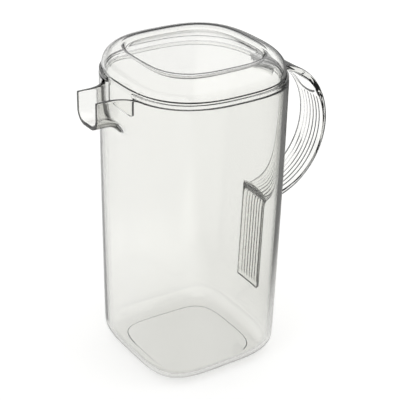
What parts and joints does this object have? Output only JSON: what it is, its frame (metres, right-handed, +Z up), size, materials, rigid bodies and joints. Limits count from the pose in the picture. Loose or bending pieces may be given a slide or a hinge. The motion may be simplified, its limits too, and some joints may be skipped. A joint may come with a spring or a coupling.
{
  "type": "lidded carafe",
  "caption": "Clear square-shouldered jug with a trough spout, a reeded strap handle and a lift-off lid whose guard drops into the spout's mouth.",
  "frame": {"origin": "centre of the jug's flat base, on the surface that it stands on", "axes": "+Z up, -X along the spout, +X through the handle, Y across the jug"},
  "size_m": [0.1805, 0.1122, 0.2186],
  "materials": {
    "jug_clear_plastic": "clear, glossy",
    "handle_clear_plastic": "clear, glossy, reeded",
    "lid_clear_plastic": "clear, glossy"
  },
  "bodies": {
    "jug": {"jug_body": "jug_clear_plastic", "handle": "handle_clear_plastic"},
    "lid": {"lid": "lid_clear_plastic"}
  },
  "joints": [
    {"name": "lid_lift", "type": "slide", "parent": "jug", "child": "lid", "axis": [0, 0, 1], "range_m": [0, 0.03]}
  ]
}
